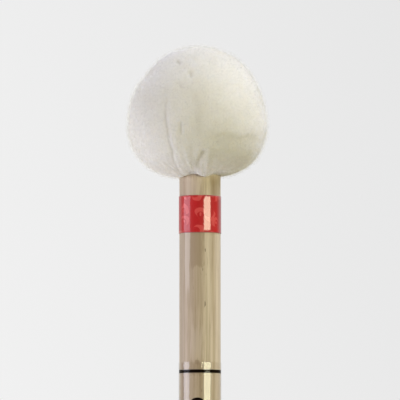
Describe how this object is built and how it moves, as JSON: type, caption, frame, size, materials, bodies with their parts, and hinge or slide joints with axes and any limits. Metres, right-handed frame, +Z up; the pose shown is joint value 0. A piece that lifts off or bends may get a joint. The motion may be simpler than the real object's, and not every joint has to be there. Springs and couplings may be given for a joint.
{
  "type": "timpani mallet",
  "caption": "Timpani mallet: cream gathered felt ball head on a straight lacquered wooden stick with a red marker tape band and a clear printed label.",
  "frame": {"origin": "middle of the flat at the butt end of the stick", "axes": "+Z up the stick from the butt to the felt head; -Y is the front, where the label's print faces"},
  "size_m": [0.0476, 0.0476, 0.366],
  "materials": {
    "stick_wood": "satin lacquer over fine straight grain",
    "core_wood": "turned, unfinished",
    "steel": "zinc plated",
    "liner_felt": "firm pressed wool felt",
    "thread": "waxed linen thread",
    "cover_felt": "soft fluffy wool felt",
    "red_film": "glossy red decorative film with a swirl pattern",
    "clear_film": "clear glossy plastic film",
    "black_ink": "black print under the clear film"
  },
  "bodies": {
    "root": {"shaft": "stick_wood", "core": "core_wood", "core_washer": "steel", "core_screw": "steel", "liner_felt": "liner_felt", "liner_drawstring": "thread", "cover_felt": "cover_felt", "cover_drawstring": "thread", "marker_tape": "red_film", "label_film": "clear_film", "printed_ring_upper": "black_ink", "printed_ring_lower": "black_ink", "printed_dot": "black_ink", "printed_bar": "black_ink"}
  },
  "joints": []
}
